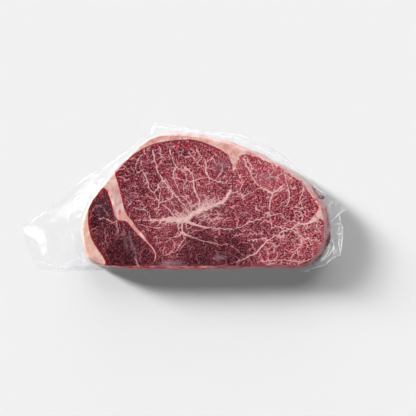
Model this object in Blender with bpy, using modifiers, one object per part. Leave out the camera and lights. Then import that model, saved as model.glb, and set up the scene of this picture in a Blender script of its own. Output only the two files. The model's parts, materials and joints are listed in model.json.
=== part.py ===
"""A thick-cut raw beef steak, vacuum packed in clear film.

Two solids: the steak, which is one piece of meat with its rim of fat, and the
bag, whose pressed border of film stands out all round the steak's side.
Metres, +Z up. The steak lies on Z = 0, its long side along X and its straight
cut edge towards -Y. The origin is under the middle of the bag.
"""

import math

import bmesh
import bpy
from mathutils import Vector
from mathutils.geometry import intersect_line_line_2d

MM = 0.001

# Steak.
THICKNESS = 24 * MM
TOP_ROUNDING = 3.0 * MM       # how far the cut face starts inside its own outline
GIRTH_HEIGHT = 8.5 * MM       # height of the widest section, where the film is pressed together
GIRTH_BULGE = 1.2 * MM        # how far the side stands out past the cut face, all round
TAIL_BULGE = 3.6 * MM         # and how much more at the tail, the +X end
FOOT_INSET = 2.5 * MM         # how far the side draws in again above the resting face
FACE_SWELL = 0.5 * MM         # gentle waves of the cut face
STEAK_CENTRE = Vector((14 * MM, -8 * MM))
RING_POINTS = 52

# The cut face from above, in millimetres, anticlockwise from the toe of the fat rim.
CUT_FACE = (
    (-75, -53), (-62, -56), (-36, -57.5), (-6, -58), (28, -57.5), (62, -56.5), (92, -56.5),
    (101, -53), (109, -44), (113, -32), (113, -16), (108, -3), (97, 10), (82, 21.5),
    (60, 33.5), (34, 44), (8, 49.5), (-14, 50.5), (-27, 47.5), (-42, 35), (-57, 18.5),
    (-71, 3), (-79, -11), (-82.5, -26), (-80.5, -42),
)

# Bag.
FILM_THICKNESS = 0.8 * MM
FILM_GAP = 0.3 * MM
FILM_DROOP = 5.5 * MM         # how much lower the border hangs at its free edge
FILM_WAVE = 1.1 * MM
FILM_WAVES = 9                # waves in one turn round the steak
FILM_RINGS = 5
FILM_STEP = 7 * MM            # longest step along the free edge

# The bag's cut edge from above, in millimetres, anticlockwise from the tip of the long left end.
BAG_EDGE = (
    (-131, -24), (-126, -42), (-119, -58), (-98, -60.5), (-62, -59.5), (-36, -60), (28, -59.5),
    (88, -59), (98, -61), (111, -57), (126, -47.5), (128.5, -28), (126.5, -15), (131, -10),
    (114, 2), (96, 19), (79, 34), (61, 45), (43, 51), (19, 51.5), (-24, 61), (-28, 51),
    (-59, 28), (-84, 13), (-103, -6),
)


def smooth_loop(corners, count):
    """Points evenly spread along a closed Catmull-Rom curve through the corners."""
    fine = []
    steps = 12
    total = len(corners)
    for i in range(total):
        before, start, end, after = (corners[(i + k) % total] for k in (-1, 0, 1, 2))
        for s in range(steps):
            t = s / steps
            fine.append(0.5 * (
                2 * start
                + (end - before) * t
                + (2 * before - 5 * start + 4 * end - after) * t ** 2
                + (3 * start - before - 3 * end + after) * t ** 3
            ))
    lengths = [(fine[i] - fine[i - 1]).length for i in range(1, len(fine))]
    lengths.append((fine[0] - fine[-1]).length)
    spacing = sum(lengths) / count
    points = []
    walked = 0.0
    for i, length in enumerate(lengths):
        while len(points) < count and walked + length > len(points) * spacing:
            share = (len(points) * spacing - walked) / length
            points.append(fine[i].lerp(fine[(i + 1) % len(fine)], share))
        walked += length
    return points


def outward(loop):
    """The unit normal, pointing out, at each point of an anticlockwise loop."""
    normals = []
    for i, point in enumerate(loop):
        along = loop[(i + 1) % len(loop)] - loop[i - 1]
        normals.append(Vector((along.y, -along.x)).normalized())
    return normals


def grown(loop, normals, amounts):
    return [p + n * a for p, n, a in zip(loop, normals, amounts)]


def face_height(point):
    """The cut face isn't quite flat: it swells and dips by a fraction of a millimetre."""
    wave = math.sin(point.x * 52 + 0.6) * math.cos(point.y * 61 - 0.4)
    return THICKNESS + FACE_SWELL * wave


def bulges(normals):
    """How far the girth stands out past the cut face at each point of the outline."""
    return [GIRTH_BULGE + TAIL_BULGE * max(n.x, 0.0) ** 1.5 for n in normals]


def at_height(loop, height):
    return [Vector((p.x, p.y, height)) for p in loop]


def steak_rings():
    """Sections of the steak, from the middle of its resting face up to the middle of the cut face."""
    cut = smooth_loop([Vector(c) * MM for c in CUT_FACE], RING_POINTS)
    normals = outward(cut)
    bulge = bulges(normals)
    girth = grown(cut, normals, bulge)
    foot = grown(girth, normals, [-FOOT_INSET] * RING_POINTS)
    shoulder = grown(cut, normals, [0.4 * b for b in bulge])
    rings = [
        at_height([STEAK_CENTRE.lerp(p, 0.5) for p in foot], 0.0),
        at_height([STEAK_CENTRE.lerp(p, 0.92) for p in foot], 0.0),
        at_height(foot, 0.0),
        at_height(girth, 0.4 * GIRTH_HEIGHT),
        at_height(girth, GIRTH_HEIGHT),
        at_height(shoulder, 0.72 * THICKNESS),
        at_height(cut, THICKNESS - 0.4 * TOP_ROUNDING),
    ]
    rim = grown(cut, normals, [-TOP_ROUNDING] * RING_POINTS)
    for share in (1.0, 0.84, 0.62, 0.36):
        inner = [STEAK_CENTRE.lerp(p, share) for p in rim]
        rings.append([Vector((p.x, p.y, face_height(p))) for p in inner])
    return rings, girth


def lofted(name, rings, capped, material, collection):
    """An object whose skin joins one ring of points to the next, with its ends closed if capped."""
    bm = bmesh.new()
    loops = [[bm.verts.new(p) for p in ring] for ring in rings]
    for lower, upper in zip(loops, loops[1:]):
        for i in range(len(lower)):
            j = (i + 1) % len(lower)
            bm.faces.new((lower[i], lower[j], upper[j], upper[i]))
    if capped:
        bm.faces.new(reversed(loops[0]))
        bm.faces.new(loops[-1])
    mesh = bpy.data.meshes.new(name)
    bm.to_mesh(mesh)
    bm.free()
    mesh.shade_smooth()
    mesh.materials.append(material)
    obj = bpy.data.objects.new(name, mesh)
    collection.objects.link(obj)
    return obj


def along_edge(corners, step):
    """The corners of a closed outline with points between them, no further apart than step."""
    points = []
    for i, start in enumerate(corners):
        end = corners[(i + 1) % len(corners)]
        pieces = max(1, math.ceil((end - start).length / step))
        points += [start.lerp(end, s / pieces) for s in range(pieces)]
    return points


def towards_centre(point, loop):
    """Where the line from the steak's centre to a point crosses the loop."""
    far = STEAK_CENTRE + (point - STEAK_CENTRE) * 2
    for i, start in enumerate(loop):
        end = loop[(i + 1) % len(loop)]
        hit = intersect_line_line_2d(STEAK_CENTRE, far, start, end)
        if hit is not None:
            return hit
    return point


def film_rings(girth):
    """Rings of the film border, from the steak's side out to the bag's cut edge."""
    edge = along_edge([Vector(c) * MM for c in BAG_EDGE], FILM_STEP)
    collar = grown(girth, outward(girth), [FILM_GAP] * len(girth))
    starts = [towards_centre(p, collar) for p in edge]
    rings = []
    for k in range(FILM_RINGS):
        share = k / (FILM_RINGS - 1)
        ring = []
        for start, end in zip(starts, edge):
            place = start.lerp(end, share)
            turn = math.atan2(end.y - STEAK_CENTRE.y, end.x - STEAK_CENTRE.x)
            droop = FILM_DROOP * math.sin(share * math.pi / 2)
            wave = FILM_WAVE * share * math.sin(FILM_WAVES * turn)
            ring.append(Vector((place.x, place.y, GIRTH_HEIGHT - droop + wave)))
        rings.append(ring)
    return rings


def plain_material(name, colour, roughness, alpha=1.0):
    material = bpy.data.materials.new(name)
    material.use_nodes = True
    shader = material.node_tree.nodes["Principled BSDF"]
    shader.inputs["Base Color"].default_value = (*colour, 1.0)
    shader.inputs["Roughness"].default_value = roughness
    shader.inputs["Metallic"].default_value = 0.0
    shader.inputs["Alpha"].default_value = alpha
    return material


def make_steak(collection):
    rings, girth = steak_rings()
    beef = plain_material("beef", (0.30, 0.045, 0.06), 0.45)
    steak = lofted("steak", rings, True, beef, collection)
    soften = steak.modifiers.new("soften", "SUBSURF")
    soften.levels = 1
    soften.render_levels = 1
    return girth


def make_bag(girth, collection):
    film = plain_material("film", (0.92, 0.93, 0.94), 0.12, alpha=0.3)
    bag = lofted("vacuum_bag", film_rings(girth), False, film, collection)
    bag.data.flip_normals()
    wall = bag.modifiers.new("wall", "SOLIDIFY")
    wall.thickness = FILM_THICKNESS
    wall.offset = 0.0


def main():
    for obj in list(bpy.data.objects):
        bpy.data.objects.remove(obj)
    pack = bpy.data.collections.new("vacuum_packed_steak")
    bpy.context.scene.collection.children.link(pack)
    make_bag(make_steak(pack), pack)


main()
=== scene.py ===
"""The looks of a raw beef steak in clear vacuum film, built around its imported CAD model.

Lengths are metres in the row frame. The lists of places on the cut face, the maps made from them
and the mesh attributes that the materials read are in millimetres.
"""

import json
import math

import bmesh
import bpy
import numpy as np
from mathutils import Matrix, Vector
from mathutils.bvhtree import BVHTree


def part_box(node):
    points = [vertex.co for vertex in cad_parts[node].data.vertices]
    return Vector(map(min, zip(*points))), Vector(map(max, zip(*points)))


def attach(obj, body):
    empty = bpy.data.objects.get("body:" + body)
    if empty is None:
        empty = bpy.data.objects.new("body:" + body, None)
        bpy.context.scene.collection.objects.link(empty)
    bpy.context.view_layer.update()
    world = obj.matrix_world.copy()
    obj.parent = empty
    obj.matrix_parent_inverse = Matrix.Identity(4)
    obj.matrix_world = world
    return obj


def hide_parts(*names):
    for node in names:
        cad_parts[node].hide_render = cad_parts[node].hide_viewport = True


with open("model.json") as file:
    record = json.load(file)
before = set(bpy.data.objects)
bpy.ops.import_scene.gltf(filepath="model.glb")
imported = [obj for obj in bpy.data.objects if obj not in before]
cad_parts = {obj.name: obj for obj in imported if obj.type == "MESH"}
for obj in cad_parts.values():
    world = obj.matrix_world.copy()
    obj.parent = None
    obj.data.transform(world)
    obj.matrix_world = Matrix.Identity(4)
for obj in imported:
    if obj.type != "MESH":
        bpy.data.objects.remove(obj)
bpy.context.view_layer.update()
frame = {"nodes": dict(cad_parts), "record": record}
STEAK_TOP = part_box("steak")[1].z

MM = 0.001
SEED = 11

# ---------------------------------------------------------------- what the cut face shows, in millimetres

STAR = np.array((1.0, -19.0))    # the star of fat in the large muscle

# The large muscle's outline, anticlockwise from its lower left. Past the steak's side it just ends.
EYE = (
    (-22, -60), (20, -62), (70, -62), (99, -59), (104.5, -49), (110, -41), (112.8, -32), (112.9, -22),
    (110.5, -18.8), (107, -16.8), (105.4, -13.5), (107.8, -11), (107.2, -6), (104.5, -2.6), (101.8, 0.5),
    (99.5, 4.5), (96.8, 8.5), (92, 13.5), (85.5, 17.5), (78, 22.3), (70, 26.5), (60, 30.8), (50, 33.8),
    (45.3, 33.2), (43.6, 30), (42, 25.5), (39.8, 21), (38.2, 25), (36.8, 30.5), (34, 34), (29, 37.5),
    (22, 40.8), (14, 44), (5, 45.7), (-5, 45.3), (-16, 44), (-24, 42.3), (-32, 39), (-40, 34.2),
    (-46.5, 29.7), (-50.8, 26), (-54.4, 21.8), (-55.6, 20), (-55.2, 17.2), (-53, 10), (-50.3, 0),
    (-48.5, -8), (-45.5, -15), (-41.5, -20), (-38, -25), (-33.3, -30), (-29.7, -35), (-27, -38.5),
    (-24.5, -41.5), (-22.3, -47),
)

# The dark cap muscle's outline, anticlockwise from its toe.
CAP = (
    (-62, -60), (-26, -60), (-24, -52), (-23.2, -46.5), (-25.3, -42), (-29, -38), (-32, -34.8),
    (-37.2, -29.7), (-41.5, -25), (-46.3, -19.8), (-52, -19), (-55, -16), (-57, -9), (-59, -2),
    (-61.6, 4.4), (-64.8, 7), (-69.8, 1.8), (-74, -3.4), (-76.2, -9), (-77, -17), (-76.2, -26),
    (-73.8, -34.5), (-69.5, -42), (-65, -48.5), (-63, -53),
)

# Main veins of fat: width at the start and at the end, then the points along each.
VEINS = (
    (5.2, 2.8, (-4, -19.5), (1, -18.5), (7, -14), (13, -10.5)),
    (3.6, 2.4, (11, -11), (20, -8.5), (27, -6), (32, -3), (35.5, 1), (37, 5)),
    (3.0, 0.9, (0, -19), (6, -21.5), (14, -24), (22, -25)),
    (0.9, 1.0, (22, -25), (33, -26), (44, -25), (50, -22), (54, -20), (59, -18.7), (64, -16.5), (69, -15.5)),
    (1.0, 1.0, (69, -15.5), (72, -14.5), (76, -13.2), (79, -15), (81, -18), (84, -19.7),
     (88, -19.7), (91, -21.6)),
    (0.8, 0.6, (60, -18.7), (62, -22), (62.5, -26)),
    (0.8, 0.8, (68.5, -16), (70, -19), (70.5, -25)),
    (0.8, 1.0, (70.5, -25), (73, -24.2), (76, -24.2), (79, -25), (84, -26)),
    (1.8, 1.0, (12, -9), (12, -3), (10, 2), (8.5, 5), (7.5, 10), (7.5, 14), (6.5, 18), (0, 24)),
    (1.2, 1.0, (29, 11.5), (24, 13), (20, 15), (18.5, 17.5), (17.3, 21), (17.5, 24.5), (17, 28),
     (13, 33), (10, 38)),
    (0.9, 0.8, (20, 15), (14, 15), (10, 13), (7.5, 13)),
    (0.9, 0.6, (29, 11.5), (28.5, 14), (28, 18)),
    (0.8, 0.6, (29, 12), (34, 11), (38, 10.5)),
    (0.8, 0.6, (18.5, 22.5), (21, 22.5), (24, 23.5)),
    (1.7, 0.7, (-2, -18.5), (-10, -18.3), (-20, -19), (-30, -19), (-42, -19.5)),
    (1.7, 1.3, (-1, -20), (-1.8, -26), (1, -31)),
    (1.5, 0.8, (1, -31), (8, -33), (15, -35.3), (23, -37), (30, -39)),
    (0.9, 0.7, (30, -39), (34, -38), (39, -40), (43, -43), (48, -48)),
    (1.1, 0.8, (-1, -29), (-6, -32), (-12, -33.5)),
    (0.8, 0.5, (1, -33), (-3, -39), (-7, -44), (-13, -45), (-20, -43)),
    (1.2, 1.2, (42, -53), (50, -49), (53, -47), (57, -46), (60, -42.8), (62, -40), (64.5, -37.5), (67, -35)),
    (1.2, 1.2, (67, -35), (70, -34), (72, -32.3), (75, -31.3), (77, -29), (79, -27.8),
     (83, -26.3), (86, -26)),
    (1.2, 1.0, (86, -26), (88, -27.5), (90.5, -30), (93.5, -32.5), (99, -33.5), (102, -35), (108, -35.5)),
    (1.2, 2.0, (86, -26), (88.5, -24), (91, -21.8), (97, -21.5), (101, -20.7)),
    (2.0, 3.6, (101, -20.7), (104, -18.7), (107, -17.3)),
    (0.9, 0.7, (76, -31.5), (77, -34.5), (76.5, -37.5), (75.5, -40)),
    (1.1, 0.8, (94, -32.5), (93.5, -36), (93.5, -39), (91, -41.5), (87, -45)),
    (1.0, 0.8, (99, -21), (99, -24), (97.5, -27)),
    (1.2, 0.9, (105, -19.5), (106, -23), (107, -26), (109.5, -28.5)),
    (0.7, 0.6, (84.5, -29.5), (82, -33), (85, -36)),
    (0.9, 0.9, (51, -35.3), (57, -34.5), (63, -34), (67, -34.8)),
    (0.9, 1.1, (62, -52), (68, -51.5), (74, -51), (80, -51), (86, -51.5), (95, -52), (100, -50.5),
     (104, -48)),
    (0.8, 0.7, (67, -48), (68.5, -53), (70, -56)),
    (0.8, 0.7, (91, -44), (91.5, -48), (92, -52)),
    (1.3, 0.9, (96, 8), (95, 3), (93, -3), (95, -9), (89, -9)),
    (1.5, 0.9, (47.5, 30), (49, 26), (51, 23), (53, 20), (54.5, 17), (57.5, 11.5), (62, 7), (68, 4)),
    (1.1, 0.8, (50.5, 30), (52.5, 27), (54, 24), (53.5, 20)),
    (1.0, 0.8, (46, 18), (44.5, 16), (46, 13), (47, 10)),
    (2.0, 1.4, (65, 6), (70, 3), (75, 5), (79, 9)),
    (1.2, 0.9, (71, 2), (69, -4), (68.5, -8), (68.5, -15)),
    (1.3, 1.1, (80.5, 19), (82, 13), (83.5, 7), (84, 2), (84, -4), (81, -8)),
    (1.2, 1.0, (-25, 37), (-24, 31), (-22.5, 27), (-21.3, 23), (-21, 20), (-19, 17.5),
     (-17.5, 14), (-15, 10.5)),
    (1.1, 0.9, (-15, 10.5), (-12.5, 7), (-10, 4), (-7, 1), (-3, -3), (1, -8), (3, -13)),
    (0.9, 0.9, (-19.5, 40), (-18.5, 36), (-18, 31), (-18.5, 28), (-20.5, 24)),
    (1.0, 0.8, (-39, 25), (-37.5, 28.5), (-36, 31), (-33, 34)),
    (0.7, 0.7, (-38.5, 25), (-37.5, 19), (-34.5, 21), (-32, 22)),
    (1.1, 1.0, (-33, 20), (-31, 16.5), (-29, 12.5), (-29, 8.5), (-26.5, 5), (-24, 2.5),
     (-22, -1.5), (-20, -6)),
    (0.9, 0.8, (-20, -6), (-20.5, -10), (-22, -15)),
    (1.0, 0.8, (-24, 3), (-21, 6.5), (-17, 7.3), (-12.5, 7.2)),
    (0.9, 0.7, (-21, 6.5), (-19.5, 10.5), (-16.5, 13)),
    (0.7, 0.6, (-21, 7), (-22.5, 9.5), (-26, 9.8)),
    (1.0, 0.8, (-20, -5), (-15, -3.8), (-11, -2), (-9.5, 0), (-9, 3)),
    (1.0, 1.2, (-18.5, -6), (-14, -8.5), (-11, -12), (-8, -15.5), (-5, -18)),
    (0.8, 0.9, (-8.5, -10), (-4, -13), (-1, -16)),
    (0.8, 1.0, (-2.5, -7), (0, -10), (1.5, -14)),
    (1.1, 0.9, (-11.5, 38.5), (-10.5, 33), (-9, 29.5), (-7.5, 26), (-5.5, 23.5), (-3, 21.5),
     (1, 18), (2.3, 13)),
    (0.9, 0.7, (2.3, 13), (0.5, 10), (-1, 6.5), (1, 2), (2, -2)),
    (0.9, 0.9, (-5.5, 23.5), (-8, 18.5), (-7.5, 13), (-5.5, 8), (-3, 2), (1, -2), (7, -7), (11, -11)),
    (0.7, 0.7, (2.3, 13), (5, 11.5), (7.5, 13)),
    (0.7, 0.6, (-1, 6.5), (3, 6), (7, 3)),
    (0.9, 0.8, (4, 36), (5.5, 33), (10, 27.5), (14, 24)),
    (0.8, 0.7, (-4.5, 32), (-1, 33), (2, 31.5), (5.5, 33)),
    (0.9, 0.8, (-41, -9), (-37, -9.5), (-33, -10.5), (-28, -13), (-27.5, -17), (-25, -21)),
    (0.7, 0.6, (-38, -4), (-36, -6.5), (-34, -9.5)),
    (0.9, 0.8, (42, 13), (46, 10), (44, 4), (38, 3)),
    (0.9, 0.8, (43.5, 2), (50, 1.5), (56, 4)),
    (1.3, 0.8, (-52.5, -18.5), (-55, -20.3), (-58.5, -20), (-62, -18), (-69, -17)),
    (1.0, 0.5, (-54, -19), (-53.5, -25), (-51.5, -31)),
    (0.7, 0.6, (-66, -36), (-64, -43), (-61, -49), (-59, -54)),
    (0.6, 0.5, (-49, -20), (-47, -30), (-43, -40), (-39, -50), (-37, -56)),
    (0.7, 2.4, (-39.5, -49), (-38, -53), (-36, -57)),
    (0.6, 0.5, (-26, -40), (-23, -45), (-23, -50), (-25, -54)),
    (1.2, 0.8, (-3.5, -20), (-4.5, -24.5), (-3, -28.5), (0, -31)),
    (1.0, 0.7, (2, -21), (1.5, -25), (3.5, -28.5), (3, -32)),
    (0.8, 0.6, (14, -19), (19, -18), (25, -18.5), (31, -17)),
    (0.7, 0.6, (9, -17), (15, -15.5), (22, -14), (27, -14.5)),
)

# Brightness of the lean meat, 0 dark to 1 pale.
TONES = (
    (-53, -44, 0.00), (-66, -10, 0.20), (-64, -28, 0.22), (-32, -48, 0.18), (-40, 12, 0.42), (-38, -6, 0.48),
    (-12, 34, 0.55), (0, 18, 0.72), (24, 20, 0.70), (-16, -8, 0.66), (-14, -33, 0.62), (12, -44, 0.14),
    (38, -44, 0.16), (26, -17, 0.48), (28, 0, 0.70), (54, -6, 0.62), (56, -26, 0.55), (70, 18, 0.95),
    (54, 24, 0.88), (92, -10, 0.66), (100, -36, 0.78), (74, -46, 0.72), (-10, 42, 0.60),
)

# Warmth of the rim's fat, 0 pink to 1 cream.
WARMTHS = (
    (-80, -25, 0.95), (-78, -45, 0.75), (-70, -52, 0.25), (-75, 0, 0.55), (-60, 14, 0.55), (-45, 30, 0.15),
    (-25, 45, 0.30), (-8, 48, 0.10), (20, 45, 0.15), (45, 37, 0.10), (80, 22, 0.10), (100, 5, 0.20),
    (112, -25, 0.15), (60, -57, 0.05), (-10, -57, 0.0), (-50, -14, 0.05), (-57, 8, 0.1), (-53, -4, 0.0),
)

# Fresh red spots: place and radius.
BLOOD = (
    (-20, 24.8, 1.2), (-20, 27.3, 1.0), (-17, 36.5, 1.2), (-6.5, 35.5, 0.7), (-6, 41.5, 1.3), (2.5, 42, 1.5),
    (3.5, 38.8, 1.2), (-21.3, -15, 0.9), (-20.5, -10, 0.7), (27.8, 37.2, 1.1), (33, 35, 1.0), (36, 33, 0.6),
    (40.5, 34.4, 0.9), (39.3, 30.8, 0.8), (33, 42, 0.9), (10, 47.5, 1.0), (99.3, 1, 0.9), (103.5, -3.5, 1.0),
    (105, -5.5, 1.0), (106, -7.5, 1.2), (104, -10.5, 0.7), (106.5, -11, 0.8), (108, -12.5, 0.6),
    (111.5, -15.6, 1.1), (111, -21, 1.2), (32, 2.5, 0.8), (31, -38, 0.8), (41, -41, 0.7), (72.5, -0.5, 0.7),
    (-68.5, 1.2, 1.0), (-65.6, 4.4, 1.1), (-62.4, 7.0, 0.9), (99, -55, 2.6), (94, -55.3, 2.0), (47, 32, 0.6),
    (52, 32.5, 1.0), (55, 32.2, 0.8), (-33, 36, 0.8),
)

# Where the marbling is thick: place, half sizes, turn in degrees, strength.
THICK = (
    (40, 29, 10, 11, 0, 1.2), (76, 22.5, 24, 6, -33, 1.1), (99, 6, 13, 5, -52, 1.0),
    (24, -17, 18, 8, -8, 0.8), (58, -9, 24, 13, 10, 0.4), (50, 33, 9, 3, 0, 0.5), (84, -54, 26, 4, 0, 0.7),
    (72, 8, 10, 8, 20, 0.5),
    (106, -10, 6, 14, 0, 0.6), (14, -8, 22, 12, 25, 0.7), (98, -30, 16, 24, 0, 0.5),
    (-12, -54, 14, 4, 0, 0.6), (34, 2, 6, 6, 0, 0.6),
    (-67, -10, 11, 9, 80, -1.8), (-71, -20, 4, 8, 0, -1.0), (-66, 2, 7, 4, 40, 0.5),
)

# Where the grain slants down or rises to the right, instead of running out from the star.
SLANTS = ((64, 22, 28, 13, -28, 1.6), (92, 4, 16, 9, -40, 1.2))
RISES = ((57, -9, 25, 15, 10, 1.4), (46, -40, 22, 8, 0, 1.0))
SLANT_BEARING = -52
RISE_BEARING = 48

# An orange fleck in the seam: place and radius.
ORANGE = ((-51.4, -11.2, 0.9), (-51.8, -12.6, 1.2), (-51.9, -14.2, 0.8))

# Brown-red juice that has gathered along the side wall at the tail: width at the start, in the middle and at
# the end, then the points along it.
PURGE = (
    (0.7, 1.3, 1.2, (102.8, 7.6), (104.6, 5.4), (106.2, 2.8), (108.0, 0.8), (109.8, -0.8)),
    (1.4, 2.6, 1.0, (107.0, 1.4), (108.8, -0.6), (110.6, -1.4), (112.0, -0.2)),
    (0.5, 1.1, 0.6, (113.4, -8), (115.0, -13), (116.2, -19), (116.8, -25)),
    (0.9, 2.2, 1.0, (117.2, -29), (116.6, -33.5), (115.0, -37.5), (112.8, -41.5), (111.4, -44)),
    (0.8, 1.4, 0.6, (111.6, -44), (109.6, -47.5), (106.8, -50.5), (103.0, -54)),
)

# Milky film and its painted sheen where it lifts off the meat: place, half sizes, turn in degrees, strength.
HAZE_AND_SHEEN = (
    (29, -49, 7, 2.6, 4, 0.9), (27, -46.8, 2, 3, 0, 0.4), (-42.5, -36, 1.3, 9, 15, 0.9),
    (-39, -45, 1.2, 8, 10, 0.6), (-53.5, -26, 1.3, 9, 8, 0.6), (-44, 0, 3, 9, 6, 0.35),
    (-10, -53.5, 13, 3.4, 4, 0.9), (30, 25, 9, 6, 40, 0.6), (66, 16, 9, 5, -20, 0.6),
    (10, -56, 40, 1.6, 0, 0.3), (-66, -9, 8, 10, 0, 0.2), (-22, -56.5, 10, 1.6, 0, 0.6),
    (-55.5, -13, 1.6, 7, 12, 0.9), (-54, 0, 3.5, 17, 15, 0.45), (-47, -36, 2, 12, 12, 0.5),
)

# ---------------------------------------------------------------- maps of the cut face

MAP_LOW = np.array((-134.0, -64.0))    # the maps' lower left corner, beyond the film
MAP_STEP = 0.25
MAP_SIZE = (1076, 512)
FAR = 99.0                             # further than any place is from a line or a cell
TWIG_STEP = 0.8


def map_grid():
    """The places that a map's values stand for."""
    x, y = (low + MAP_STEP * np.arange(size) for low, size in zip(MAP_LOW, MAP_SIZE))
    return np.stack(np.meshgrid(x, y, indexing="ij"), axis=-1)


GRID = map_grid()


def window(points, reach):
    """The part of a map within reach of some points."""
    low = np.floor((points.min(0) - reach - MAP_LOW) / MAP_STEP).astype(int)
    high = np.ceil((points.max(0) + reach - MAP_LOW) / MAP_STEP).astype(int) + 1
    low, high = np.maximum(low, 0), np.maximum(high, 0)
    return np.s_[low[0] : high[0], low[1] : high[1]]


def line_depth(points, widths, reach):
    """(window, how deep each of its places lies inside a line of varying width: negative outside it)."""
    area = window(points, reach)
    depth = np.full(GRID[area].shape[:2], -float(reach))
    for start, end, near, far in zip(points, points[1:], widths / 2, widths[1:] / 2):
        part = window(np.array((start, end)), reach)
        offset = GRID[part] - start
        if offset.size == 0:
            continue
        inner = tuple(slice(p.start - a.start, p.stop - a.start) for p, a in zip(part, area))
        along = end - start
        share = np.clip(offset @ along / max(along @ along, 1e-9), 0, 1)
        gap = offset - share[..., None] * along
        here = near + (far - near) * share - np.hypot(gap[..., 0], gap[..., 1])
        depth[inner] = np.maximum(depth[inner], here)
    return area, depth


def veins_map(veins, reach=3.5, web=8.0):
    """How deep each place lies inside the fat of the veins, which are webbed together where they meet."""
    total = np.zeros(MAP_SIZE)
    for points, widths in veins:
        area, depth = line_depth(points, widths, reach)
        total[area] += np.exp(web * depth)
    return np.log(total + math.exp(-web * reach)) / web


def outline_map(corners, reach=14.0):
    """How deep each place lies inside a closed outline: positive inside, negative outside."""
    loop = catmull_rom(corners, 1.5, closed=True)
    loop = np.vstack((loop, loop[:1]))
    area, depth = line_depth(loop, np.zeros(len(loop)), reach)
    distance = np.full(MAP_SIZE, reach)
    distance[area] = -depth
    x, y = GRID[..., 0], GRID[..., 1]
    inside = np.zeros(MAP_SIZE, bool)
    for (x0, y0), (x1, y1) in zip(loop, loop[1:]):
        if y0 != y1:
            inside ^= ((y0 > y) != (y1 > y)) & (x < (x1 - x0) * (y - y0) / (y1 - y0) + x0)
    return np.where(inside, distance, -distance)


def read_map(values, places):
    """A map's values at any places."""
    at = np.clip((places - MAP_LOW) / MAP_STEP, 0, np.array(MAP_SIZE) - 1.001)
    low = at.astype(int)
    i, j = low.T
    u, v = (at - low).T
    return (
        (values[i, j] * (1 - u) + values[i + 1, j] * u) * (1 - v)
        + (values[i, j + 1] * (1 - u) + values[i + 1, j + 1] * u) * v
    )


def catmull_rom(corners, step, closed):
    """Points about step apart along a smooth curve through the corners."""
    corners = [np.array(c, float) for c in corners]
    total = len(corners)
    if closed:
        spans = [[corners[(i + k) % total] for k in (-1, 0, 1, 2)] for i in range(total)]
    else:
        padded = [2 * corners[0] - corners[1], *corners, 2 * corners[-1] - corners[-2]]
        spans = [padded[i : i + 4] for i in range(total - 1)]
    points = []
    for before, start, end, after in spans:
        count = max(2, int(np.linalg.norm(end - start) / step))
        for t in np.arange(count) / count:
            points.append(0.5 * (
                2 * start
                + (end - before) * t
                + (2 * before - 5 * start + 4 * end - after) * t ** 2
                + (3 * start - before - 3 * end + after) * t ** 3
            ))
    if not closed:
        points.append(corners[-1])
    return np.array(points)


def waves(places, rng, size, count=18):
    """Smooth seeded noise about -1 to 1 with features of the given size."""
    total = np.zeros(places.shape[:-1])
    for _ in range(count):
        direction = rng.normal(0, 1, places.shape[-1])
        direction *= rng.uniform(0.6, 1.5) * math.pi / size / np.linalg.norm(direction)
        total += np.sin(places @ direction + rng.uniform(0, 2 * math.pi))
    return total / math.sqrt(count / 2)


def grown_twig(rng, start, angle, length, width):
    """A twig of fat that wanders off from a place and thins out."""
    turn = 0.0
    points = [start]
    for _ in range(max(3, round(length / TWIG_STEP))):
        turn = 0.5 * turn + rng.normal(0, 0.10)
        angle += turn
        points.append(points[-1] + TWIG_STEP * np.array((math.cos(angle), math.sin(angle))))
    widths = width * np.linspace(1, 0.4, len(points)) * rng.uniform(0.75, 1.2, len(points))
    return np.array(points), widths


def branches(rng, veins, spacing, longest):
    """Twigs that leave the veins now on one side, now on the other."""
    twigs = []
    for points, widths in veins:
        walked = rng.uniform(1.0, spacing)
        side = rng.choice((-1, 1))
        for i in range(1, len(points) - 1):
            step = points[i + 1] - points[i]
            walked += np.hypot(*step)
            if walked < spacing * rng.uniform(0.6, 1.4):
                continue
            walked = 0.0
            side = -side
            angle = math.atan2(step[1], step[0]) + side * rng.uniform(0.5, 1.15)
            width = min(0.55, 0.65 * widths[i])
            twigs.append(grown_twig(rng, points[i], angle, rng.uniform(0.35, 1) * longest, width))
    return twigs


def star_rays(rng, count=140):
    """Hair-thin lines of fat that run straight out from the star and its arms."""
    arms = catmull_rom(((-12, -18.5), (-3, -19), (7, -14.5), (14, -10), (24, -7)), 1.0, closed=False)
    rays = []
    for _ in range(count):
        start = arms[rng.integers(len(arms))] + rng.normal(0, 1.0, 2)
        heading = start - (STAR + (4, -1)) + rng.normal(0, 2.5, 2)
        angle = math.atan2(heading[1], heading[0])
        rays.append(grown_twig(rng, start, angle, rng.uniform(3, 12), rng.uniform(0.35, 0.75)))
    return rays


def vein_tree(rng):
    """The main veins, the twigs that branch off them and the star's rays, as (points, widths)."""
    mains = []
    for start_width, end_width, *corners in VEINS:
        points = catmull_rom(corners, 1.4, closed=False)
        points[1:-1] += rng.normal(0, 0.32, (len(points) - 2, 2))
        widths = np.linspace(start_width, end_width, len(points))
        slack = np.where(widths > 2, 0.2, 0.4)
        mains.append((points, widths * (1 - slack * rng.uniform(0.2, 1.1, len(points)))))
    twigs = branches(rng, mains, 4.6, 7.0)
    return mains + twigs + branches(rng, twigs, 4.0, 4.0) + star_rays(rng)


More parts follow.
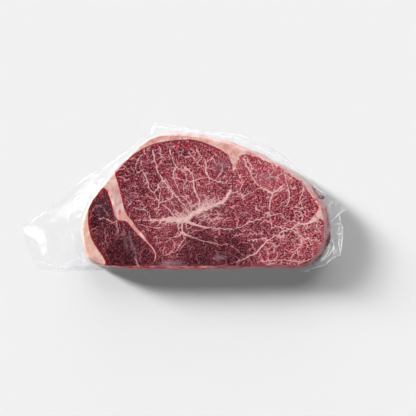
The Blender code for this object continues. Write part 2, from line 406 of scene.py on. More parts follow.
def cell_map(rng, spacing, stretch, warp):
    """An irregular net's cells, drawn out away from the star.

    Gives three maps: the distance to the cell's edge, the cell's own luck (0 to 1) and its neighbour's.
    """
    low, high = MAP_LOW - spacing, MAP_LOW + MAP_STEP * np.array(MAP_SIZE) + spacing
    seeds = np.array([
        (x, y)
        for row, y in enumerate(np.arange(low[1], high[1], spacing * 0.87))
        for x in np.arange(low[0] + (row % 2) * spacing / 2, high[0], spacing)
    ])
    seeds += rng.uniform(-0.6, 0.6, seeds.shape) * spacing
    away = seeds - STAR
    distance = np.linalg.norm(away, axis=1)
    away /= distance[:, None] + 1e-6
    drawn = 1 + (stretch - 1) * np.exp(-((distance / 45) ** 2))
    luck = rng.random(len(seeds))
    shifted = GRID + warp
    nearest, second = np.full(MAP_SIZE, FAR), np.full(MAP_SIZE, FAR)
    owner, rival = np.zeros(MAP_SIZE), np.zeros(MAP_SIZE)
    for seed, (ax, ay), ratio, number in zip(seeds, away, drawn, luck):
        part = window(seed[None], 3.2 * spacing)
        offset = shifted[part] - seed
        if offset.size == 0:
            continue
        radial = offset[..., 0] * ax + offset[..., 1] * ay
        across = offset[..., 0] * ay - offset[..., 1] * ax
        reach = np.hypot(radial / ratio, across)
        first, next_one = nearest[part], second[part]
        wins = reach < first
        places = ~wins & (reach < next_one)
        second[part] = np.where(wins, first, np.where(places, reach, next_one))
        rival[part] = np.where(wins, owner[part], np.where(places, number, rival[part]))
        nearest[part] = np.where(wins, reach, first)
        owner[part] = np.where(wins, number, owner[part])
    apart = second - nearest
    slope = np.hypot(*np.gradient(apart, MAP_STEP))
    return apart / np.maximum(slope, 0.3), owner, rival


def net_map(rng, spacing, stretch, warp, thinnest, widest):
    """How deep each place lies inside the lines of an irregular net; a width below zero leaves a line out."""
    edge, owner, rival = cell_map(rng, spacing, stretch, warp)
    return (thinnest + (widest - thinnest) * ((owner + rival) % 1)) / 2 - edge


def blended(places, patches):
    """A smooth field through the values at some places."""
    patches = np.array(patches, float)
    gap = ((places[:, None, :] - patches[:, :2]) ** 2).sum(-1)
    weight = 1 / (gap + 30.0) ** 2.2
    return (weight * patches[:, 2]).sum(-1) / weight.sum(-1)


def spots(places, patches):
    """How deep each place lies inside the nearest of some round spots."""
    patches = np.array(patches, float)
    gap = np.sqrt(((places[:, None, :] - patches[:, :2]) ** 2).sum(-1))
    return (patches[:, 2] - gap).max(-1)


def beads(lines):
    """Round spots strung close together along some lines, each with its own widths."""
    strung = []
    for first, middle, last, *corners in lines:
        points = catmull_rom(corners, 0.5, closed=False)
        widths = np.interp(np.linspace(0, 2, len(points)), (0, 1, 2), (first, middle, last))
        strung.append(np.column_stack((points, widths / 2)))
    return np.concatenate(strung)


def ovals(places, patches):
    """The strengths of the soft ovals that each place lies in, added up."""
    total = np.zeros(len(places))
    for x, y, half_x, half_y, turn, strength in patches:
        c, s = math.cos(math.radians(turn)), math.sin(math.radians(turn))
        offset = places - (x, y)
        across = (offset[:, 0] * c + offset[:, 1] * s) / half_x
        up = (offset[:, 1] * c - offset[:, 0] * s) / half_y
        total += strength * np.clip(1.6 - 1.6 * np.hypot(across, up), 0, 1)
    return total


def flow(places, heights):
    """The places drawn in towards the star of fat, so that a pattern on them runs out from it.

    Along the height the pattern is drawn out too, because the fibres run from one cut face to the other.
    """
    away = places - STAR
    distance = np.linalg.norm(away, axis=1)
    radii = np.linspace(0.5, 150, 600)
    pull = np.interp(radii, (0, 25, 60, 110), (0.6, 0.6, 0.75, 0.5))
    logs = np.concatenate(((0,), np.cumsum((pull / radii)[:-1] * np.diff(radii))))
    drawn = np.exp(logs)
    drawn *= 40 / np.interp(40, radii, drawn)
    scale = np.interp(distance, radii, drawn) / np.maximum(distance, 0.5)
    return np.column_stack((STAR + away * scale[:, None], 0.3 * heights))


def slanted(places, heights, bearing):
    """The places turned and squeezed, so that a pattern on them runs along the bearing, in degrees."""
    turn = math.radians(bearing)
    along = places[:, 0] * math.cos(turn) + places[:, 1] * math.sin(turn)
    across = places[:, 1] * math.cos(turn) - places[:, 0] * math.sin(turn)
    return np.column_stack((0.6 * along + 2.0 * np.sin(across / 9), across, 0.3 * heights))


# ---------------------------------------------------------------- mesh helpers


def evaluated_mesh(obj):
    """The mesh that an object has with its modifiers applied."""
    return bpy.data.meshes.new_from_object(obj.evaluated_get(bpy.context.evaluated_depsgraph_get()))


def coordinates(mesh):
    values = np.empty(len(mesh.vertices) * 3, np.float32)
    mesh.vertices.foreach_get("co", values)
    return values.reshape(-1, 3).astype(float)


def normals(mesh):
    values = np.empty(len(mesh.vertices) * 3, np.float32)
    mesh.vertex_normals.foreach_get("vector", values)
    return values.reshape(-1, 3).astype(float)


def place_vertices(mesh, values):
    mesh.vertices.foreach_set("co", values.astype(np.float32).ravel())
    mesh.update()


def smooth_out(mesh, rounds):
    """Each round moves every vertex half-way to the middle of its neighbours."""
    bm = bmesh.new()
    bm.from_mesh(mesh)
    axes = {"use_axis_x": True, "use_axis_y": True, "use_axis_z": True}
    for _ in range(rounds):
        bmesh.ops.smooth_vert(bm, verts=bm.verts, factor=0.5, **axes)
    bm.to_mesh(mesh)
    bm.free()
    mesh.update()


def add_attributes(mesh, **attributes):
    """Numbers or vectors for each vertex, which a material can read by name."""
    for name, values in attributes.items():
        wide = values.ndim > 1
        attribute = mesh.attributes.new(name, "FLOAT_VECTOR" if wide else "FLOAT", "POINT")
        attribute.data.foreach_set("vector" if wide else "value", values.astype(np.float32).ravel())


def smooth_step(values, low, high):
    share = np.clip((values - low) / (high - low), 0, 1)
    return share * share * (3 - 2 * share)


# ---------------------------------------------------------------- material helpers


def colour(red, green, blue):
    """Scene-linear colour, with alpha, from the 0 to 255 that a screen shows."""
    shown = np.array((red, green, blue)) / 255
    linear = np.where(shown <= 0.04045, shown / 12.92, ((shown + 0.055) / 1.055) ** 2.4)
    return (*linear.tolist(), 1.0)


class Graph:
    """A material whose nodes are added by short calls. Each call returns the socket to use next."""

    def __init__(self, name):
        self.material = bpy.data.materials.new(name)
        self.material.use_nodes = True
        self.tree = self.material.node_tree
        self.tree.nodes.clear()
        self.attributes = {}

    def add(self, kind, inputs, output=0, **settings):
        node = self.tree.nodes.new(kind)
        for name, value in settings.items():
            setattr(node, name, value)
        for name, value in inputs.items():
            socket = node.inputs[name]
            if isinstance(value, bpy.types.NodeSocket):
                self.tree.links.new(value, socket)
            else:
                socket.default_value = value
        return node.outputs[output]

    def attribute(self, name):
        """The node that reads a mesh attribute, made when it is first asked for."""
        if name not in self.attributes:
            socket = self.add("ShaderNodeAttribute", {}, attribute_name=name)
            self.attributes[name] = socket.node
        return self.attributes[name]

    def value(self, name):
        return self.attribute(name).outputs["Fac"]

    def vector(self, name):
        return self.attribute(name).outputs["Vector"]

    def parts(self, vector):
        """The vector's three parts."""
        return self.add("ShaderNodeSeparateXYZ", {0: vector}).node.outputs

    def stretched(self, vector, factors):
        return self.add("ShaderNodeVectorMath", {0: vector, 1: factors}, operation="MULTIPLY")

    def math(self, operation, first, second=0.0, clamp=False):
        return self.add("ShaderNodeMath", {0: first, 1: second}, operation=operation, use_clamp=clamp)

    def sum(self, first, second):
        return self.math("ADD", first, second)

    def product(self, first, second):
        return self.math("MULTIPLY", first, second)

    def step(self, value, low, high, start=0.0, end=1.0):
        """Start below low, end above high, and smooth between."""
        inputs = {"Value": value, "From Min": low, "From Max": high, "To Min": start, "To Max": end}
        return self.add("ShaderNodeMapRange", inputs, interpolation_type="SMOOTHSTEP")

    def mix(self, share, first, second):
        return self.add("ShaderNodeMix", {0: share, 6: first, 7: second}, 2, data_type="RGBA")

    def noise(self, vector, size, detail=2.0, roughness=0.5, output="Fac"):
        """Noise with features of about size, in the vector's own unit."""
        inputs = {"Vector": vector, "Scale": 1 / size, "Detail": detail, "Roughness": roughness}
        return self.add("ShaderNodeTexNoise", inputs, output)

    def even_noise(self, vector, size, detail=2.0):
        """Noise that lies evenly about zero."""
        return self.sum(self.noise(vector, size, detail), -0.5)

    def cells(self, vector, size, feature="F1", output="Distance"):
        inputs = {"Vector": vector, "Scale": 1 / size}
        return self.add("ShaderNodeTexVoronoi", inputs, output, feature=feature)

    def shifted(self, vector, size, amount):
        """The vector moved about by noise."""
        drift = self.noise(vector, size, output="Color")
        centred = self.add("ShaderNodeVectorMath", {0: drift, 1: (0.5, 0.5, 0.5)}, operation="SUBTRACT")
        moved = self.add("ShaderNodeVectorMath", {0: centred, "Scale": amount}, operation="SCALE")
        return self.add("ShaderNodeVectorMath", {0: vector, 1: moved}, operation="ADD")

    def ramp(self, value, *stops):
        """A colour ramp through (position, colour) stops."""
        node = self.tree.nodes.new("ShaderNodeValToRGB")
        self.tree.links.new(value, node.inputs[0])
        elements = node.color_ramp.elements
        while len(elements) < len(stops):
            elements.new(1.0)
        for element, (position, shade) in zip(elements, stops):
            element.position = position
            element.color = shade
        return node.outputs[0]

    def bump(self, height, distance, strength=1.0):
        inputs = {"Height": height, "Distance": distance, "Strength": strength}
        return self.add("ShaderNodeBump", inputs)

    def finish(self, surface):
        end = self.tree.nodes.new("ShaderNodeOutputMaterial")
        self.tree.links.new(surface, end.inputs["Surface"])
        return self.material


# ---------------------------------------------------------------- the meat

FILM_GAP = 0.22 * MM                    # how far the meat lies under the film
VOXEL = 1.05 * MM
FACE_LEVEL = STEAK_TOP - 5 * MM         # above this, what faces up belongs to the cut face
CUT_LEVEL = STEAK_TOP - 0.5 * MM
CUT_ROUNDING = 1.2 * MM                 # how much of the solid's rounded rim is filled out, for a crisp edge
FLECK = 1.1                             # width of the cells between the finest flecks, in millimetres
NOT_UNDER = -0.5                        # normals that point further down than this are the underside's


def fine_steak():
    """The steak's solid as a fine even mesh, twice as fine on the cut face, with a crisp edge round it."""
    rough = bpy.data.objects.new("rough_steak", frame["nodes"]["steak"].data.copy())
    bpy.context.collection.objects.link(rough)
    even = rough.modifiers.new("even", "REMESH")
    even.mode = "VOXEL"
    even.voxel_size = VOXEL
    mesh = evaluated_mesh(rough)
    bpy.data.objects.remove(rough)
    smooth_out(mesh, 4)
    bm = bmesh.new()
    bm.from_mesh(mesh)
    bm.normal_update()
    top = [f for f in bm.faces if f.normal.z > 0.5 and f.calc_center_median().z > FACE_LEVEL]
    edges = {e for f in top for e in f.edges}
    bmesh.ops.subdivide_edges(bm, edges=list(edges), cuts=1, use_grid_fill=True)
    bm.to_mesh(mesh)
    bm.free()
    points = coordinates(mesh)
    height = points[:, 2]
    lift = 0.9 * np.clip(CUT_LEVEL - height, 0, CUT_ROUNDING)
    points[:, 2] += lift * smooth_step(height, CUT_LEVEL - 6.5 * MM, CUT_LEVEL - 1.3 * MM)
    place_vertices(mesh, points)
    mesh.shade_smooth()
    return mesh


def make_meat():
    """The steak: its muscles, seams, marbling and rim of fat as attributes and low relief."""
    rng = np.random.default_rng(SEED)
    mesh = fine_steak()
    points = coordinates(mesh) / MM
    outward = normals(mesh)
    places = points[:, :2]
    heights = points[:, 2]

    warp = 0.9 * np.stack([waves(GRID, rng, 7.0), waves(GRID, rng, 7.0)], -1)
    ripple = 0.25 * np.stack([waves(GRID, rng, 2.2), waves(GRID, rng, 2.2)], -1)
    lean = read_map(np.maximum(outline_map(EYE), outline_map(CAP)), places)
    vein = read_map(veins_map(vein_tree(rng)), places)
    wide_net = net_map(rng, 7.6, 1.5, warp + ripple, 0.0, 0.8) + 0.1 * waves(GRID, rng, 5.0)
    fine_net = net_map(rng, 4.0, 1.5, 0.6 * warp + ripple, -0.5, 0.6) + 0.12 * waves(GRID, rng, 2.6)
    net = read_map(np.maximum(wide_net, fine_net), places)
    wall = 1 - smooth_step(outward[:, 2], 0.35, 0.9)
    wall[outward[:, 2] < NOT_UNDER] = 0

    swell = 0.16 * smooth_step(-vein, 0.3, 2.5) * smooth_step(lean, 0, 1.5)
    seam = -0.06 * np.exp(-((lean / 0.5) ** 2)) * (1 - wall)
    grain = 0.05 * waves(places, rng, 2.5) + 0.09 * waves(places, rng, 9.0)
    uneven = wall * (0.25 * waves(points, rng, 11.0) + 0.12 * waves(points, rng, 4.0))
    relief = swell + seam + grain + uneven - 0.16
    relief[outward[:, 2] < NOT_UNDER] = 0
    moved = points + outward * (relief[:, None] - FILM_GAP / MM)
    moved[:, 2] = np.maximum(moved[:, 2], 0.02)
    place_vertices(mesh, moved * MM)

    add_attributes(
        mesh,
        place=points,
        lean=lean,
        vein=vein,
        net=net,
        wall=wall,
        tone=blended(places, TONES),
        warmth=blended(places, WARMTHS),
        blood=spots(places, BLOOD),
        purge=spots(places, beads(PURGE)),
        orange=spots(places, ORANGE),
        thick=ovals(places, THICK),
        haze=ovals(places, HAZE_AND_SHEEN),
        flow=flow(places, heights),
        slant=slanted(places, heights, SLANT_BEARING),
        slanting=smooth_step(ovals(places, SLANTS), 0.35, 0.65),
        rise=slanted(places, heights, RISE_BEARING),
        rising=smooth_step(ovals(places, RISES), 0.35, 0.65),
    )
    mesh.materials.clear()
    mesh.materials.append(beef_material())
    meat = bpy.data.objects.new("marbled_steak", mesh)
    bpy.context.collection.objects.link(meat)
    meat.visible_diffuse = False      # its brightly lit side would tint the floor round it
    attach(meat, "root")
    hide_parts("steak")
    return meat


def beef_material():
    """Marbled meat: lean from dark to pale with flecks, a net and veins of fat, then the rim and the skin."""
    g = Graph("marbled_beef")
    ragged = g.even_noise(g.vector("place"), 0.9)
    fleck, luck = flecks(g)
    surface = marbled_lean(g, fleck, luck, ragged)
    surface = with_red_parts(g, surface, ragged)
    surface = with_rim(g, surface, ragged)
    surface = with_skin(g, surface, ragged)
    wet = g.step(g.noise(g.vector("place"), 2.0), 0.35, 0.7, 0.30, 0.48)
    fine = g.sum(g.product(g.noise(g.vector("flow"), 0.6, 3.0), 0.5), g.product(fleck, 0.35))
    shader = g.add("ShaderNodeBsdfPrincipled", {
        "Base Color": surface,
        "Roughness": wet,
        "Specular IOR Level": 0.06,
        "Normal": g.bump(fine, 0.15 * MM, 0.6),
    })
    return g.finish(shader)


def flecks(g):
    """Flecks of fat finer than the mesh: a net of small cells, whose lines thin out and break here and there.

    Also gives each cell's own luck, 0 to 1.
    """
    drifted = g.shifted(g.vector("flow"), 1.5, 0.9)
    edge = g.cells(drifted, FLECK, "DISTANCE_TO_EDGE")
    for course, share in (("slant", "slanting"), ("rise", "rising")):
        other = g.cells(g.shifted(g.vector(course), 1.5, 0.9), FLECK, "DISTANCE_TO_EDGE")
        edge = g.sum(edge, g.product(g.math("SUBTRACT", other, edge), g.value(share)))
    uneven = g.noise(g.vector("flow"), 0.9, 1.0)
    patchy = g.noise(g.vector("place"), 6.0)
    width = g.step(g.sum(uneven, g.product(patchy, 0.25)), 0.35, 0.85, -0.07, 0.12)
    width = g.sum(width, g.product(g.value("thick"), 0.05))
    luck = g.parts(g.cells(drifted, FLECK, output="Color"))[0]
    return g.step(g.math("SUBTRACT", width, edge), -0.035, 0.025), luck


def marbled_lean(g, fleck, luck, ragged):
    """The lean meat's colour with its flecks, its net and its veins of fat."""
    tone, vein = g.value("tone"), g.value("vein")
    depth = g.sum(tone, g.product(g.even_noise(g.vector("place"), 3.5, 3.0), 0.15))
    depth = g.sum(depth, g.product(g.sum(luck, -0.5), 0.5))
    muscle = g.ramp(
        depth,
        (0.0, colour(30, 5, 10)),
        (0.35, colour(70, 9, 22)),
        (0.65, colour(114, 20, 38)),
        (1.0, colour(166, 52, 70)),
    )
    fleck_fat = g.ramp(
        tone, (0.0, colour(140, 50, 64)), (0.45, colour(212, 120, 133)), (1.0, colour(238, 162, 167))
    )
    net_fat = g.ramp(
        tone, (0.0, colour(160, 74, 88)), (0.45, colour(216, 146, 150)), (1.0, colour(232, 184, 182))
    )
    surface = g.mix(g.product(fleck, 0.88), muscle, fleck_fat)
    net_share = g.step(g.sum(g.value("net"), g.product(ragged, 0.7)), -0.12, 0.12)
    surface = g.mix(g.product(net_share, g.step(tone, 0.1, 0.45, 0.5, 0.92)), surface, net_fat)
    feather = g.product(g.even_noise(g.vector("flow"), 0.8), g.step(g.value("thick"), 0.0, 0.5, 0.0, 2.6))
    vein_share = g.step(g.sum(vein, g.sum(g.product(ragged, 0.7), feather)), -0.05, 0.16)
    thin_fat = g.ramp(tone, (0.0, colour(180, 104, 112)), (0.45, colour(226, 178, 175)))
    lumps = g.noise(g.vector("place"), 2.0, 3.0)
    thick_fat = g.ramp(lumps, (0.3, colour(220, 166, 164)), (0.7, colour(242, 206, 200)))
    return g.mix(vein_share, surface, g.mix(g.step(vein, 0.3, 1.0), thin_fat, thick_fat))


def with_red_parts(g, surface, ragged):
    """The red margin and the thin dark line that part the large muscle from the rim, and the red spots."""
    lean = g.value("lean")
    east, north, _ = g.parts(g.vector("place"))
    margin = g.product(g.step(lean, -0.2, 0.3), g.step(g.sum(lean, g.product(ragged, 2.0)), 2.6, 0.2))
    margin = g.product(margin, g.step(east, -40.0, -58.0, 0.45, 0.85))
    surface = g.mix(margin, surface, colour(150, 16, 38))
    line = g.product(g.step(lean, -0.3, 0.1), g.step(lean, 0.9, 0.3))
    line = g.product(line, g.step(north, 22.0, 32.0))
    line = g.product(line, g.step(g.value("thick"), 0.4, 0.0, 0.0, 0.8))
    surface = g.mix(line, surface, colour(84, 12, 28))
    spot = g.step(g.sum(g.value("blood"), g.product(ragged, 1.6)), -0.3, 0.5)
    return g.mix(g.product(spot, 0.85), surface, colour(186, 20, 34))


def with_rim(g, surface, ragged):
    """The fat of the rim and the seams, from pink to cream, and the orange fleck in the seam."""
    place, thick = g.vector("place"), g.value("thick")
    mottled = g.noise(place, 7.0, 4.0, 0.6)
    pink = g.ramp(
        mottled, (0.3, colour(200, 120, 118)), (0.5, colour(228, 174, 168)), (0.72, colour(244, 218, 212))
    )
    cream = g.ramp(mottled, (0.3, colour(232, 174, 152)), (0.6, colour(241, 206, 186)))
    rim = g.mix(g.value("warmth"), pink, cream)
    flush = g.step(g.noise(place, 4.0, 4.0, 0.7), 0.56, 0.70)
    rim = g.mix(g.product(flush, 0.7), rim, colour(206, 74, 84))
    grainy = g.noise(place, 0.8)
    rim = g.mix(g.step(grainy, 0.48, 0.66, 0.0, 0.4), rim, colour(212, 132, 130))
    rim = g.mix(g.step(grainy, 0.42, 0.3, 0.0, 0.5), rim, colour(250, 232, 226))
    torn = g.product(g.even_noise(g.vector("slant"), 1.8, 3.0), g.math("MAXIMUM", thick, 0.0))
    fuzzy = g.sum(g.product(ragged, 0.8), g.product(torn, 9.0))
    surface = g.mix(g.step(g.sum(g.value("lean"), fuzzy), 0.12, -0.16), surface, rim)
    fleck = g.step(g.sum(g.value("orange"), g.product(ragged, 1.2)), -0.3, 0.4)
    return g.mix(g.product(fleck, 0.85), surface, colour(236, 98, 66))


def with_skin(g, surface, ragged):
    """The skin on the straight cut side and round the tail, the juice on it, and the film's painted milky
    sheen on the cut.
    """
    place, wall = g.vector("place"), g.value("wall")
    east, north, _ = g.parts(place)
    # the sides mixed towards a pale pink: partly their own colour, partly a painted film sheen along the
    # outer edge
    surface = g.mix(g.product(wall, 0.3), surface, colour(226, 176, 170))
    fibres = g.stretched(place, (0.55, 0.55, 1.7))
    # the skin's own red membrane, painted brighter than it is to make up for the shade on the south edge
    skin = g.ramp(
        g.noise(g.shifted(fibres, 4.0, 2.0), 3.0, 5.0, 0.62),
        (0.36, colour(188, 20, 42)),
        (0.48, colour(234, 84, 98)),
        (0.56, colour(248, 152, 156)),
        (0.66, colour(254, 220, 216)),
    )
    south = g.step(g.sum(north, g.product(ragged, 1.6)), -55.3, -56.6)
    # painted light: the brightened skin laid along the south edge
    surface = g.mix(g.product(south, 0.9), surface, skin)
    streaks = g.noise(g.stretched(place, (0.5, 0.5, 1.6)), 2.6, 4.0, 0.6)
    hide = g.ramp(
        streaks, (0.3, colour(176, 48, 54)), (0.45, colour(222, 128, 134)), (0.6, colour(246, 208, 210))
    )
    tail = g.product(g.step(wall, 0.15, 0.6), g.step(east, 97.0, 106.0))
    surface = g.mix(tail, surface, hide)
    juice = g.step(g.sum(g.value("purge"), g.product(ragged, 1.8)), -0.4, 0.6)
    juice = g.product(juice, g.step(wall, 0.1, 0.4))
    surface = g.mix(g.product(juice, 0.85), surface, colour(104, 26, 24))
    # painted sheen: the loose film's milky look and its reflection, mixed into the meat's colour
    return g.mix(g.product(g.value("haze"), 0.55), surface, colour(150, 118, 130))


# ---------------------------------------------------------------- the film

# Folds of the border: height, how far its left and its right slope run, then the points along it.
FOLDS = (
    (0.7, 4.0, 14.0, (-113.5, -26), (-112, -33), (-111, -40), (-109.5, -48)),
    (0.5, 3.0, 1.0, (-129, -25.5), (-121, -25), (-113.5, -26)),
    (0.8, 1.2, 2.0, (-125, -23), (-115, -14), (-105, -5)),
    (0.7, 1.0, 2.0, (-88, 8), (-79, 14), (-68, 22)),
    (0.4, 5.0, 5.0, (-98, -31), (-97.5, -38), (-95, -44), (-91, -47)),
    (0.5, 2.5, 2.5, (-87, -6), (-93, -17), (-90, -30), (-88, -42), (-82, -50)),
    (0.7, 1.5, 1.5, (-98, -58), (-90, -52), (-80, -50)),
    (0.7, 1.5, 2.5, (-120, -50), (-112, -54), (-100, -57), (-86, -57)),
    (0.9, 1.2, 2.2, (-60, 27), (-46, 39), (-34, 49)),
    (0.8, 1.0, 1.6, (-22, 57), (-8, 54), (8, 52)),
    (0.9, 1.4, 2.6, (30, 50.5), (46, 46), (60, 39.5), (74, 32)),
    (0.8, 1.2, 2.2, (66, 41), (80, 30), (93, 19)),
    (1.1, 0.8, 1.6, (95, 14.5), (104, 8.5), (113.5, 2)),
    (0.8, 1.0, 1.5, (112, 2.5), (118, 0), (125, -5)),
    (0.7, 1.5, 1.5, (120.5, -3), (118, -5.5), (116.5, -9)),
    (1.2, 1.2, 1.2, (132.5, -10), (126, -13), (119, -19.5)),
    (1.1, 1.0, 1.0, (125.7, -13), (125.4, -17), (126, -21)),
    (1.0, 0.9, 0.9, (120.5, -23), (123.5, -21.7), (127, -23), (128.2, -26), (127, -29.3),
     (124, -30.3), (121, -29)),
    (1.2, 1.0, 1.0, (128, -27), (127.2, -36), (126, -46.5)),
    (1.0, 1.0, 1.0, (124.3, -33), (124.8, -40), (125.8, -46.5)),
    (1.2, 1.0, 1.2, (126, -47), (119.7, -49.1), (111.7, -57.2)),
    (0.9, 0.9, 0.9, (121, -37), (118, -45), (112.5, -51)),
    (0.9, 0.9, 0.9, (117.5, -40), (115, -46), (109, -53.5)),
    (0.8, 0.9, 0.9, (119, -32), (120.5, -40), (119.7, -48)),
    (0.5, 1.0, 1.0, (98, -60), (104, -57.5), (112, -56)),
)

# Where the border is milky and catches the light: place, half sizes, turn in degrees, strength.
SHEENS = (
    (-122, -28, 10, 5, -14, 0.9), (-117, -32, 8, 6, -60, 0.9), (-114, -39, 3.5, 10, 8, 0.8),
    (-80, -50, 4, 8, 10, 0.4), (-74, -57, 24, 3.5, 0, 0.6), (-100, -58.5, 4, 2, 20, 0.6),
    (-113.5, -13.5, 14, 1.6, 39, 0.4), (-78, 16.5, 12, 1.6, 32, 0.35), (-58, 28, 12, 1.6, 38, 0.3),
    (-84.5, -15.7, 4, 1.0, 36, 0.4), (123, -26, 7, 7, 0, 0.12), (114, -50, 12, 8, 30, 0.2),
    (105, 7, 14, 3, -36, 0.35), (126, -36, 2, 14, 5, 0.4), (118, -6, 5, 7, 0, 0.2),
    (98, -60, 2.5, 1.5, 0, 0.7), (20, 53, 50, 5, -6, 0.1), (78, 32, 22, 4, -36, 0.1),
)

COLUMNS = 720             # of the border's mesh, all round
FILLET_STEPS = 7
BORDER_STEPS = 50
WEB_GAP = 0.14 * MM       # between the border's two webs
WRAP_GAP = 0.16 * MM      # between the meat and the film that lies tight on it
SEAM_HEIGHT = 8.5 * MM    # where the two webs meet, at the steak's widest
FLOOR_GAP = 0.4 * MM      # the border hangs no lower than this
EDGE_STEP = 0.5 * MM      # of the first, rough search for the bag's cut edge
HALF_FILM = 0.4 * MM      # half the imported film's thickness
ABOVE_ALL = 0.1
OUTSIDE_ALL = 0.16
RING_REACH = 70           # radius, in millimetres, of the circle on which the border's noise is read
CREST_REACH = 9.0         # folds further off than this count as this far, in millimetres
CENTRE = Vector(frame["record"]["mounts"][0]["pos_m"]).xy


def bag_edge(count=1080):
    """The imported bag's cut edge, as (bearing, radius, height) rows round the centre."""
    tree = BVHTree.FromObject(frame["nodes"]["vacuum_bag"], bpy.context.evaluated_depsgraph_get())

    def film_under(radius, out):
        start = CENTRE + out * radius
        return tree.ray_cast(Vector((start.x, start.y, ABOVE_ALL)), Vector((0, 0, -1)))[0]

    rows = []
    for bearing in np.linspace(-math.pi, math.pi, count, endpoint=False):
        out = Vector((math.cos(bearing), math.sin(bearing)))
        outside = OUTSIDE_ALL
        while film_under(outside - EDGE_STEP, out) is None:
            outside -= EDGE_STEP
        inside = outside - EDGE_STEP
        for _ in range(5):
            middle = (inside + outside) / 2
            if film_under(middle, out) is None:
                outside = middle
            else:
                inside = middle
        rows.append((bearing, inside, film_under(inside, out).z - HALF_FILM))
    return np.array(rows)


def spread_round(edge, count):
    """Bearings that are evenly spread along the bag's cut edge, and the edge's radius there."""
    corners = np.column_stack((edge[:, 1] * np.cos(edge[:, 0]), edge[:, 1] * np.sin(edge[:, 0])))
    closed = np.vstack((corners, corners[:1]))
    walked = np.concatenate(((0,), np.cumsum(np.linalg.norm(np.diff(closed, axis=0), axis=1))))
    marks = np.linspace(0, walked[-1], count, endpoint=False)
    x, y = (np.interp(marks, walked, closed[:, k]) for k in (0, 1))
    return np.arctan2(y, x), np.hypot(x, y)


def wall_reach(tree, bearings, heights):
    """How far out the steak's side is at each bearing and height, and how squarely it faces out."""
    reach, facing = np.empty(len(bearings)), np.empty(len(bearings))
    for i, (bearing, height) in enumerate(zip(bearings, heights)):
        out = Vector((math.cos(bearing), math.sin(bearing), 0))
        start = Vector((CENTRE.x, CENTRE.y, height)) + out * OUTSIDE_ALL
        hit, normal, _, _ = tree.ray_cast(start, -out)
        reach[i] = (hit.xy - CENTRE).length
        facing[i] = max(Vector((normal.x, normal.y, 0)).normalized().dot(out), 0.4)
    return reach, facing


def fold_field(places):
    """Height of the film's folds at each place, and where it lies by the nearest fold's crest.

    The second is a row of three for each place: how far left of the crest it is (right is negative), how
    far from it, and how high the fold is there. All are in millimetres.
    """
    total = np.zeros(len(places))
    crests = np.tile((CREST_REACH, CREST_REACH, 0.0), (len(places), 1))
    for height, left_run, right_run, *corners in FOLDS:
        line = catmull_rom(corners, 2.0, closed=False)
        best = np.full(len(places), FAR)
        for k, (start, end) in enumerate(zip(line, line[1:])):
            along = end - start
            offset = places - start
            share = np.clip(offset @ along / (along @ along), 0, 1)
            gap = np.hypot(*(offset - share[:, None] * along).T)
            side = np.sign(along[0] * offset[:, 1] - along[1] * offset[:, 0])
            run = np.where(side > 0, left_run, right_run)
            taper = min(1.0, 0.35 + 3 * min(k, len(line) - 2 - k) / len(line))
            best = np.minimum(best, gap / run - math.log(taper))
            nearer = gap < crests[:, 1]
            here = np.column_stack((side * gap, gap, np.full(len(gap), height * taper)))
            crests[nearer] = here[nearer]
        total = np.maximum(total, height * np.exp(-best))
    return total, crests


def border_relief(places, rng):
    """How far the film of the border stands above or below its smooth course, in millimetres."""
    warp = 1.5 * np.stack([waves(GRID, rng, 9.0), waves(GRID, rng, 9.0)], -1)
    wide, wide_luck, _ = cell_map(rng, 16.0, 1.0, warp)
    narrow, narrow_luck, _ = cell_map(rng, 6.5, 1.0, 0.6 * warp)
    crumple = 0.22 * np.minimum(wide, 5.0) * (wide_luck - 0.4)
    crumple += 0.22 * np.minimum(narrow, 2.2) * (narrow_luck - 0.4)
    tail = smooth_step(places[:, 0], 98, 112)
    crumpled = read_map(crumple, places) * (1 + 1.2 * tail)
    return fold_field(places)[0] + crumpled - 0.3 + 0.35 * waves(places, rng, 14.0)


def ring_mesh(name, rings):
    """A mesh whose skin joins one closed ring of points to the next."""
    rings = np.array(rings)
    count = rings.shape[1]
    number = np.arange(rings.shape[0] * count).reshape(rings.shape[:2])
    nexts = np.roll(number, -1, axis=1)
    quads = np.stack((number[:-1], nexts[:-1], nexts[1:], number[1:]), -1).reshape(-1, 4)
    mesh = bpy.data.meshes.new(name)
    mesh.from_pydata(rings.reshape(-1, 3).tolist(), [], quads.tolist())
    mesh.update()
    mesh.shade_smooth()
    return mesh


